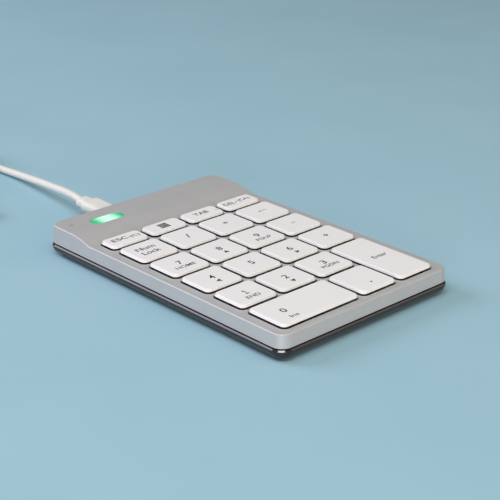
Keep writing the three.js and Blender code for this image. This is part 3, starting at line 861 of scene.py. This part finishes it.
def add_shell():
    low, high, _ = box_mm("top_shell")
    outline = rect_of("top_shell", CASE_RADIUS)
    edge_low = PLATE_TOP - SHELL_EDGE
    rim = 0.25
    profile = [
        (SHELL_WALL + 0.6, PLATE_TOP - SHELL_ROOF),
        (SHELL_WALL, PLATE_TOP - SHELL_ROOF - 0.6),
        (SHELL_WALL, low.z),
        (rim, low.z),
        (0.08, low.z + 0.08),
        (0.0, low.z + rim),
        *arc(WALL_DRAFT + SHELL_EDGE, edge_low, SHELL_EDGE, 4, 90, 8),
    ]
    bm = bmesh.new()
    under, top = loft(bm, outline, profile, fill_first=False, fill_last=False)
    holes = [rect_of("cap_" + key, CAP_RADIUS) for key in KEY_NAMES]
    openings = [(hole, -HOLE_CLEARANCE) for hole in holes]
    openings.append((rect_of("light_window", WINDOW_RADIUS), -WINDOW_CLEARANCE))
    openings.append((rect_of("indicator_lens", LENS_RADIUS), -LENS_CLEARANCE))
    upper_rings, lower_rings = [], []
    for opening, inset in openings:
        depths = [
            (inset - HOLE_EDGE, PLATE_TOP),
            (inset, PLATE_TOP - HOLE_EDGE),
            (inset, PLATE_TOP - SHELL_ROOF),
        ]
        first, last = loft(bm, opening, depths, HOLE_STEPS, fill_first=False, fill_last=False)
        upper_rings.append(first)
        lower_rings.append(last)
    fill_with_holes(bm, top, upper_rings)
    fill_with_holes(bm, under, lower_rings)
    for y in ramp_lines():
        whole = [*bm.verts, *bm.edges, *bm.faces]
        bmesh.ops.bisect_plane(bm, geom=whole, plane_co=(0, y, 0), plane_no=(0, 1, 0), dist=1e-4)
    for vert in bm.verts:
        if vert.co.z > low.z + 1:
            vert.co.z += lift(vert.co.y)
    shell = finished(bm, "case_shell")

    socket_low, socket_high, socket = box_mm("usb_socket")
    port_width = socket_high.x - socket_low.x + 2 * PORT_CLEARANCE
    port_height = socket_high.z - socket_low.z + 2 * PORT_CLEARANCE
    port = Rect(0, 0, port_width, port_height, PORT_RADIUS)
    cutter = bmesh.new()
    loft(cutter, port, [(0, -6), (0, 2)])
    lay_to_rear(cutter, socket.x, high.y, socket.z)
    cut_away(shell, finished(cutter, "port_cutter"))
    shell.data.set_sharp_from_angle(angle=math.radians(SHELL_SHARP_DEGREES))
    settle(shell, SHELL_SILVER, replaces=("top_shell",))


add_shell()

# ---- Bottom tray and feet ----

TRAY_OUTSET = 0.5
TRAY_EDGE = 3.0  # rounding of the lower edge
TRAY_SHOULDER = 0.45  # chamfer of the upper edge
LIP_INSET = 1.9  # from the shell's outside to the lip that stands inside the shell's wall
LIP_WIDTH = 0.6
TRAY_TOP = 4.5  # of its outer wall; the groove between it and the shell is 0.4 high
TRAY_FLOOR_TOP = 2.0
LEDGE_TOP = 2.9
LEDGE_WIDTH = 2.4
FOOT_GAP = 0.3
FOOT_RADIUS = 2.99


def add_tray():
    low, high, _ = box_mm("bottom_tray")
    outline = rect_of("bottom_tray", CASE_RADIUS + TRAY_OUTSET)
    lip = TRAY_OUTSET + LIP_INSET
    inner = lip + LIP_WIDTH
    profile = [
        *arc(TRAY_EDGE, low.z + TRAY_EDGE, TRAY_EDGE, -90, 0, 10),
        (0.0, TRAY_TOP - TRAY_SHOULDER),
        (TRAY_SHOULDER, TRAY_TOP),
        (lip, TRAY_TOP),
        (lip, high.z - 0.1),
        (lip + 0.1, high.z),
        (inner, high.z),
        (inner, LEDGE_TOP),
        (inner + LEDGE_WIDTH, LEDGE_TOP),
        (inner + LEDGE_WIDTH, TRAY_FLOOR_TOP),
    ]
    bm = bmesh.new()
    bottom, _ = loft(bm, outline, profile, fill_first=False)
    pockets = []
    for foot in ("foot_strip_front", "foot_strip_rear"):
        foot_high = box_mm(foot)[1]
        pocket = rect_of(foot, FOOT_RADIUS + 0.01)
        depths = [(-FOOT_GAP, foot_high.z + FOOT_GAP), (-FOOT_GAP, low.z + 0.1), (-FOOT_GAP - 0.1, low.z)]
        _, mouth = loft(bm, pocket, depths, fill_last=False)
        pockets.append(mouth)
    fill_with_holes(bm, bottom, pockets)
    tray = finished(bm, "case_tray")
    settle(tray, TRAY_BLACK, replaces=("bottom_tray",))


def add_foot(node):
    low, high, _ = box_mm(node)
    bm = bmesh.new()
    profile = [(0.35, low.z), (0.1, low.z + 0.1), (0.0, low.z + 0.35), (0.0, high.z - 0.1), (0.1, high.z)]
    loft(bm, rect_of(node, FOOT_RADIUS), profile)
    settle(finished(bm, node.replace("strip", "pad")), RUBBER, replaces=(node,))


add_tray()
add_foot("foot_strip_front")
add_foot("foot_strip_rear")

# ---- Lit window and indicator ----


def add_window():
    low, high, middle = box_mm("light_window")
    bm = bmesh.new()
    profile = [
        (0.3, low.z),
        (0.0, low.z + 0.3),
        (0.0, high.z - 0.2),
        (0.08, high.z - 0.08),
        (0.5, high.z),
        (1.6, high.z + 0.02),
    ]
    loft(bm, rect_of("light_window", WINDOW_RADIUS), profile)
    material = lit_window(middle.x * MM, (high.x - low.x) / 2 * MM)
    settle(finished(bm, "window_lens"), material, replaces=("light_window",))


def add_indicator():
    low, high, _ = box_mm("indicator_lens")
    bm = bmesh.new()
    profile = [(0.0, low.z), (0.0, high.z - 0.05), (0.05, high.z)]
    loft(bm, rect_of("indicator_lens", LENS_RADIUS), profile)
    settle(finished(bm, "indicator_light"), DARK_LENS, replaces=("indicator_lens",))


add_window()
add_indicator()

# ---- Scissors under the caps ----

BAR_ROUNDING = 0.12


def add_scissor(key):
    node = "scissor_" + key
    scissor = bpy.data.objects.new("support_" + key, frame["nodes"][node].data.copy())
    bpy.context.scene.collection.objects.link(scissor)
    rounding = scissor.modifiers.new("rounding", "BEVEL")
    rounding.width = BAR_ROUNDING * MM
    rounding.segments = 2
    settle(scissor, SUPPORT_GREY, replaces=(node,))
    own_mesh(scissor)


for key in KEY_NAMES:
    add_scissor(key)

# ---- CAD pieces that keep their shape ----

# The film's and the silicone's dark tones, set above, also paint the shade deep in the key gaps (painted
# shade).
INNER_MATERIALS = {
    "key_plate": STEEL,
    "membrane_sheet": FILM,
    "dome_sheet": SILICONE,
    "controller_board": BOARD_GREEN,
    "usb_socket": STEEL,
}
for node, material in INNER_MATERIALS.items():
    data = frame["nodes"][node].data
    data.materials.clear()
    data.materials.append(material)

# ---- Floor and lights ----

FLOOR_REACH = 6000  # mm, from the middle to the rim
FLOOR_SIDES = 48


def add_floor():
    bm = bmesh.new()
    turns = [2 * math.pi * i / FLOOR_SIDES for i in range(FLOOR_SIDES)]
    polygon(bm, [(FLOOR_REACH * math.cos(turn), FLOOR_REACH * math.sin(turn)) for turn in turns])
    floor = finished(bm, "floor")
    n = Nodes("pale_floor")
    flow = n.noise(60, detail=3)
    n.link(n.colours(flow, (0.3, (0.32, 0.53, 0.63)), (0.7, (0.34, 0.55, 0.65))), n.shader, "Base Color")
    n.link(n.between(n.noise(2), 0.75, 0.9), n.shader, "Roughness")
    floor.data.materials.append(n.material)


def add_light(name, place, size, power, colour, thickness=None):
    """A soft lamp aimed at the origin: a disc, or an oval if it has a thickness. In metres and watts."""
    data = bpy.data.lights.new(name, "AREA")
    data.shape = "ELLIPSE"
    data.size = size
    data.size_y = thickness or size
    data.energy = power
    data.color = colour
    light = bpy.data.objects.new(name, data)
    light.location = place
    light.rotation_mode = "QUATERNION"
    light.rotation_quaternion = (-Vector(place)).to_track_quat("-Z", "Y")
    bpy.context.scene.collection.objects.link(light)


def add_world():
    world = bpy.data.worlds.new("studio")
    world.use_nodes = True
    sky = world.node_tree.nodes["Background"]
    sky.inputs["Color"].default_value = (1.0, 0.98, 0.86, 1)
    sky.inputs["Strength"].default_value = 0.2
    bpy.context.scene.world = world


add_floor()
add_world()
add_light("high", (-0.2, 0.1, 1.15), 0.6, 1.1, (0.88, 1.0, 1.0))
add_light("corner", (-0.95, -0.75, 0.12), 0.5, 7.3, (1.0, 0.89, 0.92))
add_light("back_left", (-0.5, 0.85, 0.7), 0.7, 6.6, (0.88, 0.86, 1.0))
add_light("over", (-0.40, -0.39, 0.98), 1.25, 5.4, (1.0, 1.0, 1.0), thickness=0.09)
add_light("front", (0.15, -1.15, 0.5), 0.8, 2.4, (1.0, 0.74, 0.50))
add_light("right", (0.9, -0.7, 0.55), 0.8, 1.9, (1.0, 0.90, 0.80))
bpy.context.scene.view_settings.view_transform = "Standard"
